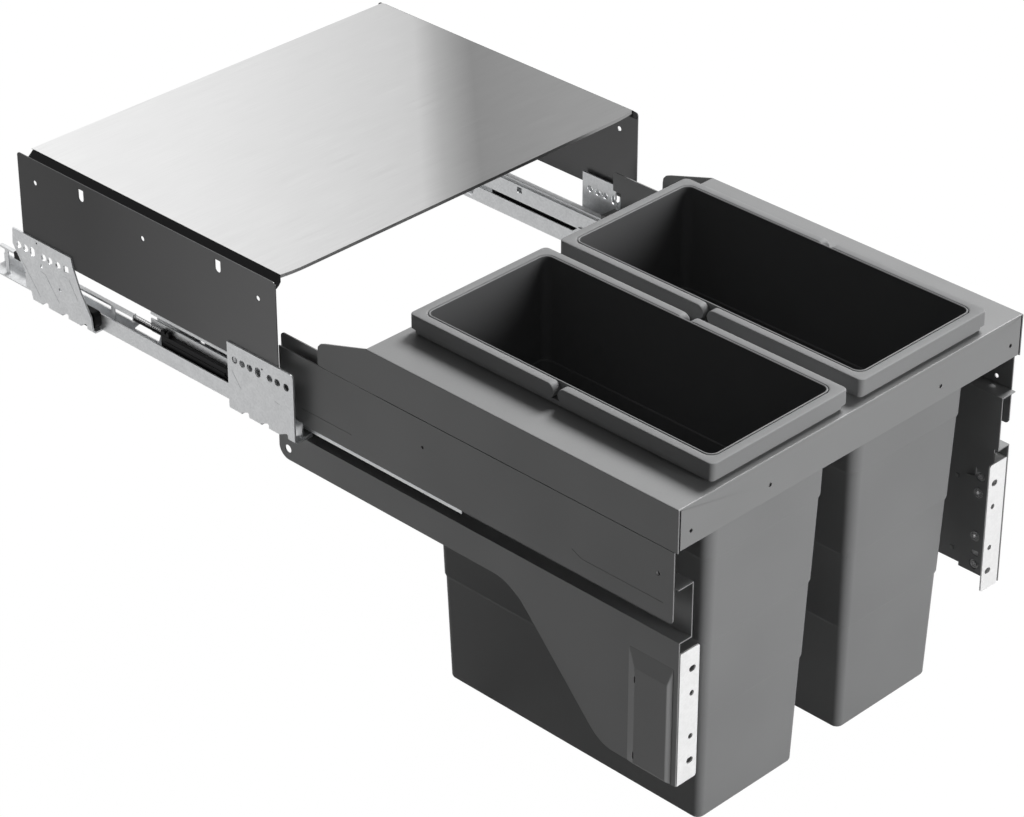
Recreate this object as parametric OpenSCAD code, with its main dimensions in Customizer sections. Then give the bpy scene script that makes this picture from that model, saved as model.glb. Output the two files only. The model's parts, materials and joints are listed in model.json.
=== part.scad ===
// Pull out bin frame: two waste bins in a full extension drawer frame, under a fixed lid shelf.
// Millimetres. The origin is on the centre line, at the cabinet's front edge and the height of the
// brackets' screw row. +Y runs to the rear of the cabinet, +Z up, +X to the right from the front.
// Right hand pieces are drawn, left hand ones mirror them. Drawer pieces are drawn from their own
// datum: y from the apron's front face, z from the top plate's upper face (down is negative).

/* [Cabinet] */
// Inside width of the cabinet, over the outer faces of the brackets
cabinet_width = 562; // [540:1:760]
// How far the drawer stands out of the cabinet as drawn
pull_out = 538; // [0:1:538]
// Height of the drawer's top plate above the brackets' screw row
frame_height = 87.7; // [80:0.1:95]
// Thickness of the folded sheets
sheet = 1.5; // [1:0.1:2]
// Thickness of the galvanised brackets
bracket_sheet = 2; // [1.5:0.1:3]
// Thickness of the plates on the cabinet's sides
plate_sheet = 1.2; // [1:0.1:2]
// Radius of the round screw holes in the brackets
bracket_hole_r = 4.4; // [2:0.1:5]
// Radius of the screw holes in the cabinet plates
plate_hole_r = 3; // [2:0.1:4]

/* [Lid shelf] */
// Depth of the lid shelf, front to rear
lid_depth = 415.2; // [300:0.1:460]
// Thickness of the lid shelf's sheet
lid_sheet = 1; // [0.8:0.1:2]
// Height of the lip folded down along the lid's front
lid_lip = 4; // [3:0.1:12]
// How far the lid's front curves back at its corners
lid_bow = 3; // [1:0.1:10]

/* [Slides] */
// Length of the cabinet rails
rail_length = 535; // [500:1:560]
// Length of the middle rails
middle_length = 490; // [440:1:500]
// Length of the drawer rails
drawer_rail_length = 553; // [500:1:560]
// Radial clearance of the rollers between their tracks
roller_gap = 0.05; // [0.01:0.01:0.1]
// Radius of the rivets that hold the rails on the brackets
rivet_r = 2; // [1.5:0.1:3]

/* [Catches] */
// Curls of each catch spring
spring_curls = 15; // [10:1:20]
// Radius of each catch spring, to the middle of its wire
spring_r = 2.1; // [1.8:0.05:2.2]
// Radius of the spring's wire
wire_r = 0.35; // [0.3:0.05:0.5]

/* [Bins] */
// Depth of the bins below the top plate
bin_depth = 435.6; // [300:0.1:450]
// Wall thickness of the bins
bin_wall = 2; // [1.5:0.1:3]
// Height of the bins' edge above the top plate
bin_rise = 24.2; // [18:0.1:28]
// Thickness of the bins' flange under the handles
bin_flange = 6.7; // [5:0.1:8]
// Gap at mid length between a bin's front and rear handle
handle_gap = 5.2; // [3:0.1:10]

/* [Door brackets] */
// Offset of a cam's pin from the middle of the cam
cam_throw = 2.75; // [2:0.05:2.75]
// Radius of the height cams
cam_r = 5; // [4:0.1:6]
// Radial clearance of the cams in their bores
cam_gap = 0.05; // [0.01:0.01:0.1]
// Radius of the cams' pins
cam_pin_r = 2.2; // [1.5:0.1:2.2]
// Height that a door bracket can be set up or down
door_adjust = 2; // [1:0.1:2]
// Radius of the round screw holes in the door brackets
door_hole_r = 3.2; // [1.8:0.1:3.5]

/* [Hidden] */
// Sub-part that is drawn, or all of them
$fn = 48;
past = 1;

// Distances from the centre line
wall_x = cabinet_width / 2;
bracket_x = wall_x - bracket_sheet;
plate_x = bracket_x - plate_sheet;
leaf_x = bracket_x - 6.5;
carrier_x = plate_x - 7.3;
ledge_x = carrier_x - 8.5;
lid_x = carrier_x - 0.7;
rail_x = wall_x - 35.5;
flange_x = rail_x + 21.5;
middle_x = rail_x + 2;
drawer_x = wall_x - 36.4;
panel_x = wall_x - 16;
skirt_x = panel_x + sheet;
arm_x = wall_x - 38;
arm_plate_x = wall_x - 20.5;
adjuster_x = wall_x - 26;
adjuster_sheet = 2;

// Heights above the brackets' screw row
rail_z = -65.3;
web_z = rail_z + sheet;
roll_low_z = frame_height - 128.5;
middle_top_z = frame_height - 104;
roll_high_z = frame_height - 96.5;
drawer_rail_z = roll_high_z + sheet;
spring_z = frame_height - 118.2;
track_wide = 5;
tray_z = frame_height - 121;
lid_z = frame_height + 38.1;
carrier_drop = 5.3;

// Rivets of the rails, and the rollers in their cages
rivet_x = rail_x + 16.5;
front_rivets = [22, 88];
rear_rivets = [366, 428];
lower_axis_z = (web_z + roll_low_z) / 2;
lower_r = (roll_low_z - web_z) / 2 - roller_gap;
lower_at = [18, 112, 207];
lower_wide = 6.2;
upper_axis_z = (middle_top_z + roll_high_z) / 2;
upper_r = (roll_high_z - middle_top_z) / 2 - roller_gap;
upper_at = [10, 54, 98, 142, 186, 230];
upper_wide = 6.8;

// Positions of the moving pieces behind the cabinet's front edge
drawer_y = -pull_out;
middle_y = 39 - pull_out / 2;
lower_cage_y = 141.5 - pull_out / 4;
upper_cage_y = 185.5 - pull_out * 3 / 4;
spring_front_y = 236.5;
spring_rear_y = spring_front_y + 47.5;

// Bins: middle and half sizes of the edge, in the drawer's own datum
bin_x = 111.7;
bin_y = 217.8;
bin_half = [90.5, 200];
handle_half = [101.7, 211.4];
handle_slit = 0.8;
opening_half = [93.7, 204];

// Height adjusters, in the drawer's own datum
adjust_y = 29.5;
cam_z = [-230, -286];
clamp_z = [-210, -323];
clamp_r = 2;
pin_slack = 0.12;
clip_z = [-225, -319];

dark_grey = [0.28, 0.28, 0.29];
zinc = [0.74, 0.75, 0.76];
steel = [0.80, 0.80, 0.80];
black = [0.06, 0.06, 0.06];
plastic = [0.22, 0.22, 0.23];

// A sheet across X, its outline drawn as (y, z).
module across_x(x, thick) {
    translate([x, 0, 0])
        rotate([90, 0, 90])
            linear_extrude(height = thick)
                children();
}

// A sheet or a bar across Y, its outline drawn as (x, z).
module across_y(y, thick) {
    translate([0, y + thick, 0])
        rotate([90, 0, 0])
            linear_extrude(height = thick)
                children();
}

// A flat sheet across Z, its outline drawn as (x, y).
module across_z(z, thick) {
    translate([0, 0, z])
        linear_extrude(height = thick)
            children();
}

module span(a, b) {
    translate(a)
        square([b[0] - a[0], b[1] - a[1]]);
}

module block(a, b) {
    translate(a)
        cube(b - a);
}

// What comes off a square corner to round it; `to` points from the corner into the sheet.
module round_off(at, r, to) {
    translate(at)
        mirror([to[0] < 0 ? 1 : 0, 0, 0])
            mirror([0, to[1] < 0 ? 1 : 0, 0])
                difference() {
                    translate([-past, -past])
                        square(r + past);
                    translate([r, r])
                        circle(r);
                }
}

module rounded(half, r) {
    square([2 * half[0], 2 * (half[1] - r)], center = true);
    square([2 * (half[0] - r), 2 * half[1]], center = true);
    for (sx = [-1, 1], sy = [-1, 1])
        translate([sx * (half[0] - r), sy * (half[1] - r)])
            circle(r);
}

// A slot with round ends: `size` is its whole length along each way.
module slot(at, size) {
    r = min(size) / 2;
    reach = size / 2 - [r, r];
    translate(at) {
        square([max(2 * reach[0], size[1] > size[0] ? 2 * r : 0),
            max(2 * reach[1], size[0] > size[1] ? 2 * r : 0)], center = true);
        for (s = [-1, 1])
            translate(s * reach)
                circle(r);
    }
}

// A slot with a flat top and a round bottom.
module d_slot(at, wide, tall) {
    translate(at) {
        translate([-wide / 2, wide / 2 - tall / 2])
            square([wide, tall - wide / 2]);
        translate([0, wide / 2 - tall / 2])
            circle(wide / 2);
    }
}

// A shallow crease on the outer face of a sheet across X, from one (y, z) to another.
module crease(x, from, to) {
    run = to - from;
    translate([x, from[0], from[1]])
        rotate([atan2(run[1], run[0]), 0, 0])
            translate([-0.3, 0, -0.4])
                cube([0.3 + past, norm(run), 0.8]);
}

module left() {
    mirror([1, 0, 0])
        children();
}

module in_drawer() {
    translate([0, drawer_y, frame_height])
        children();
}

// Cabinet plates and lid

module cabinet_plate() {
    front = 24.6;
    rear = 453.8;
    foot = 3.7;
    top = lid_z - carrier_drop;
    across_x(plate_x, plate_sheet)
        difference() {
            span([front, foot], [rear, top]);
            round_off([front, top], 4, [1, -1]);
            round_off([rear, top], 4, [-1, -1]);
            round_off([rear, foot], 18, [-1, 1]);
            round_off([front, foot], 10, [1, 1]);
            for (y = [53, 240.4, 425])
                translate([y, 91.2])
                    circle(plate_hole_r);
            for (y = [116.1, 343.6])
                d_slot([y, 105.3], 9, 15);
        }
}

// The lid's outline, its front curving back towards both corners.
module lid_outline() {
    front = 23;
    straight = 235;
    bow = lid_x - straight;
    bow_r = (bow * bow + lid_bow * lid_bow) / (2 * lid_bow);
    difference() {
        span([-lid_x, front], [lid_x, front + lid_depth]);
        for (s = [-1, 1])
            difference() {
                translate([s * (straight + bow / 2 + past / 2), front + lid_bow / 2 - past / 2])
                    square([bow + past, lid_bow + past], center = true);
                translate([s * straight, front + bow_r])
                    circle(bow_r, $fn = 180);
            }
    }
}

module lid_shelf() {
    color(steel) {
        across_z(lid_z, lid_sheet)
            lid_outline();
        across_z(lid_z + lid_sheet - lid_lip, lid_lip)
            difference() {
                lid_outline();
                translate([0, lid_sheet])
                    lid_outline();
            }
    }
}

module lid_carrier() {
    front = 25;
    length = 410;
    lip_room = 3;
    difference() {
        across_y(front, length)
            polygon([[carrier_x, lid_z + 0.8], [plate_x, lid_z - carrier_drop], [plate_x, lid_z - 13.3],
                [plate_x - 1.3, lid_z - 12.8], [carrier_x + 2.5, lid_z - 10.4], [carrier_x, lid_z - 7.1],
                [carrier_x, lid_z - 3.6], [ledge_x, lid_z - 3.6], [ledge_x, lid_z], [carrier_x, lid_z]]);
        block([ledge_x - past, front - past, lid_z - 5], [carrier_x, front + lip_room, lid_z + past]);
    }
}

// Brackets and cabinet rails

// The scalloped notch between two lobes at a bracket's foot, as (y, z).
module notch(y) {
    polygon([[y + 14, -64.5], [y + 1, -58.5], [y - 1, -59.5], [y - 2.5, -72], [y + 14, -72]]);
}

// The foot of a bracket, turned in under the rail.
module bracket_foot(from, to) {
    outer = wall_x;
    across_y(from, to - from)
        polygon([[outer, -60], [outer, rail_z + 1.5], [outer - 3.5, rail_z - 2],
            [rail_x + 9.5, rail_z - 2], [rail_x + 9.5, rail_z], [outer - 4.3, rail_z],
            [bracket_x, rail_z + 2.3], [bracket_x, -60]]);
}

module rivet_holes(ys) {
    for (y = ys)
        translate([rivet_x, y, rail_z - 5])
            cylinder(r = rivet_r + 0.02, h = 10);
}

module front_bracket() {
    depth = 105;
    top = 18.7;
    difference() {
        union() {
            across_x(bracket_x, bracket_sheet)
                difference() {
                    span([0, rail_z + 1.5], [depth, top]);
                    round_off([0, top], 5, [1, -1]);
                    for (y = [11, 25, 37, 69, 81, 93])
                        translate([y, 0])
                            circle(bracket_hole_r);
                    slot([56, 0], [2 * bracket_hole_r, 12]);
                    translate([49, 6.7])
                        circle(1.2);
                }
            bracket_foot(0, depth);
            across_x(leaf_x, bracket_sheet)
                difference() {
                    span([52, rail_z - 1], [depth, top + 0.8]);
                    for (y = [69, 81, 93])
                        translate([y, 0])
                            circle(bracket_hole_r);
                    slot([56, 0], [2 * bracket_hole_r - 2.4, 12]);
                }
        }
        across_x(rail_x, 40)
            for (y = [12, 42.5, 74.5])
                notch(y);
        crease(wall_x, [98, -15], [84, -33.5]);
        crease(wall_x, [30, -25], [22, -26]);
        rivet_holes(front_rivets);
    }
}

module rear_bracket() {
    difference() {
        union() {
            across_x(bracket_x, bracket_sheet)
                difference() {
                    polygon([[471, 18.7], [472.7, -1.8], [448, -38.3], [442, rail_z + 1.5],
                        [336, rail_z + 1.5], [338, -46.8], [354, -20.3], [365, 7.2], [367.5, 18.7]]);
                    for (y = [461.1, 448.7, 416.7, 405.7, 391.4])
                        translate([y, 0])
                            circle(bracket_hole_r);
                    slot([437, 0], [2 * bracket_hole_r, 12]);
                    translate([377.2, 0])
                        rounded([4.4, bracket_hole_r], 1);
                    translate([428.1, 14.2])
                        circle(1.2);
                    translate([421.6, -12.8])
                        circle(2.4);
                    translate([390.8, -31.4])
                        circle(2.2);
                }
            bracket_foot(336, 442);
            across_x(wall_x - 0.3, 0.3)
                translate([421.6, -12.8])
                    difference() {
                        circle(3.6);
                        circle(2.4);
                    }
        }
        across_x(rail_x, 40)
            for (y = [347, 380, 415.5])
                notch(y);
        crease(wall_x, [468, -5], [427.4, -55.9]);
        crease(wall_x, [416.2, -21.1], [393.3, -49.8]);
        crease(wall_x, [373.2, -11.2], [359.2, -33.2]);
        crease(wall_x, [423.6, -19.9], [416.2, -21.1]);
        crease(wall_x, [383.9, -10.5], [376.5, -10.4]);
        rivet_holes(rear_rivets);
    }
}

module cabinet_rail() {
    front = 2;
    rear = front + rail_length;
    difference() {
        union() {
            across_z(rail_z, sheet)
                span([rail_x, front], [flange_x + sheet, rear]);
            across_x(rail_x, sheet)
                polygon([[12, rail_z], [rear, rail_z], [rear, rail_z + 13], [304, rail_z + 13],
                    [292, rail_z + 20], [290, rail_z + 19], [305, rail_z + 4.5], [262, rail_z + 4.5],
                    [256, rail_z + 20], [94.6, rail_z + 20], [86, rail_z + 27], [12, rail_z + 27]]);
            across_x(flange_x, sheet)
                span([front, rail_z], [470, rail_z + 20]);
        }
        rivet_holes(concat(front_rivets, rear_rivets));
    }
}

module rivet(y) {
    translate([rivet_x, y, rail_z - 2]) {
        translate([0, 0, -1.2])
            cylinder(r = 3.4, h = 1.2);
        cylinder(r = rivet_r, h = 2 + sheet);
        translate([0, 0, 2 + sheet])
            cylinder(r = 3.4, h = 1.2);
    }
}

module rail_rivets() {
    color(zinc)
        for (s = [0, 1])
            mirror([s, 0, 0])
                for (y = concat(front_rivets, rear_rivets))
                    rivet(y);
}

// Damper, catch and spring beside the rail

module damper_housing() {
    front = 100;
    rear = spring_front_y - 0.5;
    difference() {
        union() {
            block([rail_x + 13.3, front, web_z], [rail_x + 18.7, rear, tray_z]);
            block([rail_x + 13.5, front + 4, web_z], [rail_x + 19.2, rear - 6, tray_z - 6]);
            block([rail_x + 13.5, rear - past, tray_z - 1], [rail_x + 19, spring_rear_y - 0.2, tray_z]);
        }
        across_x(rail_x + 10, 12)
            round_off([front, tray_z], 4, [1, -1]);
        across_x(rail_x + 10, 12)
            round_off([rear, web_z], 3, [-1, 1]);
        // a shallow pocket for the white label plate that the photo shows near the front
        block([rail_x + 18.3, 124, tray_z - 9], [rail_x + 18.7 + past, 130, tray_z - 5]);
    }
}

module spring_track() {
    rear = 522;
    low = tray_z + 1.5;
    outer = rail_x + 13.5 + track_wide;
    block([rail_x + 13.5, spring_rear_y, low], [outer, rear, low + 2.5]);
    block([rail_x + 13.5, spring_rear_y, low - 6.5], [outer, spring_rear_y + 1.5, low + 3.5]);
    for (y = [spring_rear_y + 34, 410, 508])
        block([rail_x + 15.5, y, web_z], [rail_x + 17, y + 6, low + past]);
}

module rail_foot() {
    front = 335;
    rear = 366;
    low = rail_z + 1.3;
    high = rail_z + 23;
    across_x(flange_x + sheet, 8.5)
        difference() {
            span([front, low], [rear, high]);
            round_off([front, low], 9, [1, 1]);
            round_off([front, high], 5, [1, -1]);
            round_off([rear, low], 4, [-1, 1]);
            slot([(front + rear) / 2, rail_z + 14], [3, 9]);
        }
}

module rail_end_clip() {
    low = tray_z + 1.5;
    difference() {
        block([rail_x + 12.5, 480, low - 5], [rail_x + track_wide + 14.1, 494, low + 3.6]);
        block([rail_x + 13.5, 480 - past, low], [rail_x + 13.5 + track_wide, 494 + past, low + 2.5]);
        across_x(rail_x + 10, 12)
            round_off([480, low - 5], 4, [1, 1]);
    }
}

module catch() {
    low = tray_z + 0.3;
    front = spring_front_y - 13;
    difference() {
        block([rail_x + 13.7, front, low], [rail_x + 18.5, spring_front_y, low + 5]);
        across_x(rail_x + 10, 12)
            round_off([front, low + 5], 2, [1, -1]);
        block([rail_x + 12, front + 4, low + 2.6], [rail_x + 20, front + 7, low + 5 + past]);
    }
}

// A round wire along a coil: straight ends on its axis's line, one diameter long, then the curls.
spring_rings = spring_curls * 8 + 1;
spring_pitch = (spring_rear_y - spring_front_y - 4 * wire_r) / spring_curls;
function coil_at(k) =
    [spring_r * sin(k * 45), 2 * wire_r + k / 8 * spring_pitch, spring_r * cos(k * 45)];
spring_path = concat(
    [coil_at(0) - [0, 2 * wire_r, 0]],
    [for (k = [0:spring_rings - 1]) coil_at(k)],
    [coil_at(spring_rings - 1) + [0, 2 * wire_r, 0]]);
function unit(v) = v / norm(v);
function along(path, k) =
    unit(path[min(k + 1, len(path) - 1)] - path[max(k - 1, 0)]);
function ring_point(path, k, a) =
    let (t = along(path, k), u = unit([path[k][0], 0, path[k][2]]), v = unit(cross(t, u)))
        path[k] + wire_r * (cos(a) * unit(cross(v, t)) + sin(a) * v);
spring_points = [for (k = [0:len(spring_path) - 1], a = [0:60:300]) ring_point(spring_path, k, a)];
echo(spring_least_gap = min([for (k = [1:8], a = [0:60:300], b = [0:60:300])
    norm(ring_point(spring_path, k, a) - ring_point(spring_path, k + 8, b))]));

// The two triangles between places i and j of one ring, from index a, and the next, from index b.
function halves(a, b, i, j) = [[a + i, a + j, b + j], [a + i, b + j, b + i]];

module catch_spring() {
    last = len(spring_path) - 1;
    translate([rail_x + 16, spring_front_y, spring_z])
        polyhedron(
            points = spring_points,
            faces = concat(
                [[for (j = [0:5]) j]],
                [for (k = [0:last - 1], j = [0:5], f = halves(k * 6, (k + 1) * 6, (j + 1) % 6, j)) f],
                [[for (j = [5:-1:0]) last * 6 + j]]),
            convexity = 10);
}

// Middle rails and rollers

module middle_rail() {
    bottom = roll_low_z;
    outer = middle_x + 9;
    hem_z = web_z + 3.2;
    hem_length = 440;
    difference() {
        union() {
            across_y(middle_y, middle_length)
                polygon([[middle_x, bottom], [middle_x + 10.5, bottom],
                    [middle_x + 10.5, bottom + sheet], [middle_x + sheet, bottom + sheet],
                    [middle_x + sheet, middle_top_z - 5], [middle_x + 4.5, middle_top_z - 5],
                    [middle_x + 4.5, middle_top_z - sheet], [outer, middle_top_z - sheet],
                    [outer, middle_top_z - 18], [outer + sheet, middle_top_z - 18],
                    [outer + sheet, middle_top_z], [middle_x + 3, middle_top_z],
                    [middle_x + 3, middle_top_z - 3.5], [middle_x, middle_top_z - 3.5]]);
            across_x(outer, sheet)
                span([middle_y, hem_z], [middle_y + hem_length, bottom + sheet]);
        }
        across_x(outer - past, 2 * past + sheet)
            span([middle_y + 24, middle_top_z - 8], [middle_y + middle_length + past, middle_top_z - 3]);
        across_x(middle_x - past, 2 * past + sheet)
            translate([middle_y + 414, middle_top_z - 9.7])
                rounded([4, 4], 1.5);
    }
}

// A black cage with a pocket for each roller and thin cheeks beside them.
module cage(x, y, size, axis_z, r, rollers) {
    difference() {
        block([x, y, axis_z - size[2] / 2], [x + size[0], y + size[1], axis_z + size[2] / 2]);
        for (k = rollers)
            translate([x + 0.8, y + k, axis_z])
                rotate([0, 90, 0])
                    cylinder(r = r + 0.25, h = size[0] - 1.6);
    }
}

module rollers(x, y, wide, axis_z, r, at) {
    for (s = [0, 1])
        mirror([s, 0, 0])
            for (k = at)
                translate([x + 1, y + k, axis_z])
                    rotate([0, 90, 0])
                        cylinder(r = r, h = wide - 2);
}

module lower_cage() {
    cage(middle_x + 2.5, lower_cage_y, [lower_wide, 225, 21], lower_axis_z, lower_r, lower_at);
}

module upper_cage() {
    cage(middle_x + 3.5, upper_cage_y, [upper_wide, 240, 4.5], upper_axis_z, upper_r, upper_at);
}

module lower_rollers() {
    color(steel)
        rollers(middle_x + 2.5, lower_cage_y, lower_wide, lower_axis_z, lower_r, lower_at);
}

module upper_rollers() {
    color(steel)
        rollers(middle_x + 3.5, upper_cage_y, upper_wide, upper_axis_z, upper_r, upper_at);
}

// Drawer frame

module drawer_rail() {
    across_y(drawer_y + 30, drawer_rail_length)
        polygon([[drawer_x, drawer_rail_z - 25], [drawer_x + 1.4, drawer_rail_z - 25],
            [drawer_x + 1.4, roll_high_z], [drawer_x + 18.6, roll_high_z],
            [drawer_x + 18.6, drawer_rail_z - 18], [drawer_x + 20, drawer_rail_z - 18],
            [drawer_x + 20, drawer_rail_z], [drawer_x, drawer_rail_z]]);
}

module frame_top_plate() {
    depth = 437.2;
    outer = skirt_x + sheet;
    corner_gap = 3.6;
    color(dark_grey)
        in_drawer() {
            across_z(-sheet, sheet)
                difference() {
                    span([-outer, 0], [outer, depth]);
                    for (s = [-1, 1])
                        translate([s * bin_x, bin_y])
                            rounded(opening_half, 20);
                }
            across_y(0, sheet)
                difference() {
                    span([-outer, -48.2], [outer, 0]);
                    for (s = [-1, 1])
                        translate([s * outer, -25 - sheet])
                            square([2 * corner_gap, 50], center = true);
                    for (x = [-249.3, -133.2, 133.2, 249.3])
                        translate([x, -31.3])
                            circle(2.25);
                }
            for (s = [0, 1])
                mirror([s, 0, 0])
                    across_x(skirt_x, sheet)
                        difference() {
                            polygon([[0, 0], [depth, 0], [501, -20], [507, -22.5], [511, -27],
                                [512, -33], [512, -50], [0, -50]]);
                            round_off([512, -50], 3, [-1, 1]);
                        }
        }
}

// The panel's sheet, and a rib behind its upper edge with two lugs up to the top plate.
module side_panel() {
    front = 5.5;
    rear = 575;
    top = -52.2;
    foot = -136.5;
    rib_x = panel_x - 8;
    in_drawer()
        difference() {
            union() {
                across_x(panel_x, sheet)
                    difference() {
                        span([front, foot], [rear, top]);
                        round_off([front, foot], 5, [1, 1]);
                        translate([355.8, -84.4])
                            circle(2);
                        translate([26, -85])
                            circle(2.5);
                    }
                across_x(rib_x, sheet)
                    difference() {
                        union() {
                            span([30, -64.7], [580, -40.7]);
                            for (y = [60, 380])
                                span([y, -41], [y + 40, -sheet]);
                        }
                        round_off([580, -40.7], 5, [-1, -1]);
                    }
                across_z(-62, sheet)
                    span([rib_x, 40], [panel_x + sheet, rear - 30]);
            }
            crease(skirt_x, [463, -116], [541, -116]);
            crease(skirt_x, [130, -116], [142, -110]);
            crease(skirt_x, [18.6, -116], [130, -116]);
        }
}

module door_arm() {
    rear = 585;
    shelf_z = -95;
    low_z = -159.5;
    in_drawer() {
        across_z(shelf_z, sheet)
            span([arm_x, 0], [panel_x, rear]);
        across_x(arm_x, sheet)
            span([0, low_z], [rear, shelf_z + sheet]);
        across_z(low_z, sheet)
            span([arm_x, 0], [arm_plate_x + sheet, rear]);
        across_x(arm_plate_x, sheet)
            difference() {
                polygon([[0, low_z + sheet], [rear, low_z + sheet], [rear, -195.5], [255, -195.5],
                    [246, -197], [238, -199.5], [228, -205], [219, -211], [208, -222], [118, -319],
                    [110, -326], [101, -331], [90, -334], [0, -334]]);
                round_off([rear, -195.5], 15, [-1, 1]);
                translate([571, -182])
                    circle(5);
                for (z = clip_z)
                    translate([64, z])
                        square(5, center = true);
            }
    }
}

module front_cover() {
    base = arm_plate_x + sheet;
    face = base + 5;
    face_rear = 54;
    in_drawer() {
        difference() {
            intersection() {
                across_z(-334, 142)
                    polygon([[base, 6], [face, 10.5], [face, face_rear], [base, 67]]);
                across_y(0, 80)
                    polygon([[base, -334], [face, -330], [face, -212], [base, -192]]);
            }
            for (z = clip_z)
                block([face - 3, face_rear - 1, z - 5], [face + past, face_rear + 1, z + 3]);
        }
        for (z = clip_z)
            block([arm_plate_x - 1, 61.8, z - 2.2], [base + 0.3, 66.2, z + 2.2]);
    }
}

module adjuster_plate() {
    in_drawer() {
        across_x(adjuster_x, adjuster_sheet)
            difference() {
                span([14, -334], [50, -164]);
                round_off([14, -164], 3, [1, -1]);
                slot([46, -205], [24, 16]);
                round_off([50, -197], 5, [-1, 1]);
                round_off([50, -213], 5, [-1, -1]);
                for (z = cam_z)
                    translate([adjust_y, z])
                        circle(cam_r + cam_gap);
                for (z = clamp_z)
                    translate([adjust_y, z])
                        circle(6);
                translate([adjust_y, -308.5])
                    rotate(90)
                        d_slot([0, 0], 7, 10);
            }
        for (z = [-176, -258, -304])
            translate([adjuster_x + adjuster_sheet, 45, z])
                rotate([0, 90, 0])
                    cylinder(r = 3, h = arm_plate_x - adjuster_x - adjuster_sheet);
    }
}

module clamp_screws() {
    head = arm_plate_x - 3.3;
    in_drawer()
        for (z = clamp_z)
            translate([0, adjust_y, z])
                difference() {
                    union() {
                        translate([head, 0, 0])
                            rotate([0, 90, 0])
                                cylinder(r = clamp_r, h = arm_plate_x - head);
                        translate([head - 2.4, 0, 0])
                            rotate([0, 90, 0])
                                cylinder(r = 4.2, h = 2.4);
                    }
                    for (a = [0, 90])
                        translate([head - 2.4, 0, 0])
                            rotate([a, 0, 0])
                                cube([2.4, 0.9, 5], center = true);
                }
}

// Bins and their handles

// Points of a rounded rectangle, six a corner, anticlockwise from the +X side.
function ring(half, r, z) =
    [for (q = [0:3], a = [0:18:90])
        let (sx = q == 0 || q == 3 ? 1 : -1, sy = q < 2 ? 1 : -1)
            [sx * (half[0] - r) + r * cos(q * 90 + a), sy * (half[1] - r) + r * sin(q * 90 + a), z]];
function inset(d) = bin_half - [d, d];
ledge = 2;
corner_r = 14;
steps = [[0, -1.2], [-101, 1], [-101 - ledge, 2.4], [-205, 5.5], [-205 - ledge, 6.9], [-300, 9.7],
    [-300 - ledge, 11.1], [-bin_depth, 15.1]];
bin_rings = concat(
    [ring(bin_half, 11, bin_rise), ring(bin_half, 11, bin_flange),
        ring(handle_half - [3, 3], 6, bin_flange), ring(handle_half - [3, 3], 6, 2),
        ring(handle_half - [5, 5], 5, 2), ring(handle_half - [5, 5], 5, 0)],
    [for (s = steps) ring(inset(s[1]), corner_r - s[1] / 3, s[0])],
    [for (k = [len(steps) - 1:-1:1])
        ring(inset(steps[k][1] + bin_wall), corner_r - bin_wall - steps[k][1] / 3,
            k == len(steps) - 1 ? steps[k][0] + bin_wall : steps[k][0] - 0.6)],
    [ring(inset(bin_wall), corner_r - bin_wall, 0), ring(inset(bin_wall), 9, bin_flange),
        ring(inset(bin_wall), 9, bin_rise)]);

module bin() {
    n = 24;
    count = len(bin_rings);
    outer = 6 + len(steps);
    in_drawer()
        translate([bin_x, bin_y, 0])
            polyhedron(
                points = [for (r = bin_rings) each r],
                faces = concat(
                    [for (k = [0:count - 1], j = [0:n - 1])
                        if (k != outer - 1)
                            each halves(k * n, (k + 1) % count * n, j, (j + 1) % n)],
                    [[for (j = [0:n - 1]) (outer - 1) * n + j]],
                    [[for (j = [n - 1:-1:0]) outer * n + j]]),
                convexity = 10);
}

// One U shaped handle lying on the bin's flange; the front one, or mirrored for the rear.
module handle() {
    tall = bin_rise - bin_flange;
    r = tall / 2;
    stop = handle_gap / 2 + r;
    inner = bin_half + [handle_slit, handle_slit];
    in_drawer()
        translate([bin_x, bin_y, bin_flange]) {
            linear_extrude(height = tall)
                difference() {
                    rounded(handle_half, 6);
                    rounded(inner, 11.8);
                    span([-handle_half[0] - past, -stop], [handle_half[0] + past, handle_half[1] + past]);
                }
            for (x = [-handle_half[0], inner[0]])
                translate([x, -stop, r])
                    rotate([0, 90, 0])
                        cylinder(r = r, h = handle_half[0] - inner[0]);
        }
}

module rear_handle() {
    translate([0, 2 * (drawer_y + bin_y), 0])
        mirror([0, 1, 0])
            handle();
}

// Door brackets and their cams

module door_bracket() {
    inner = wall_x - 50;
    leg = wall_x - 23.5;
    thick = 1.8;
    in_drawer() {
        across_y(0, thick)
            difference() {
                span([inner, -335], [leg + thick, -173]);
                round_off([inner, -335], 3, [1, 1]);
                round_off([inner, -173], 3, [1, -1]);
                for (z = [-228, -281])
                    translate([inner + 10, z])
                        circle(door_hole_r);
                for (z = [-198, -311])
                    slot([inner + 10, z], [9.6, 2 * door_hole_r + 0.6]);
            }
        across_x(leg, thick)
            difference() {
                span([0, -335], [38, -173]);
                round_off([38, -335], 4, [-1, 1]);
                round_off([38, -173], 4, [-1, -1]);
                for (z = cam_z)
                    slot([adjust_y + 2.3, z], [9.4, 2 * (cam_pin_r + pin_slack)]);
                for (z = clamp_z)
                    slot([adjust_y, z], [2 * clamp_r + 0.6, 2 * (clamp_r + door_adjust) + 1]);
            }
    }
}

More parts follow.
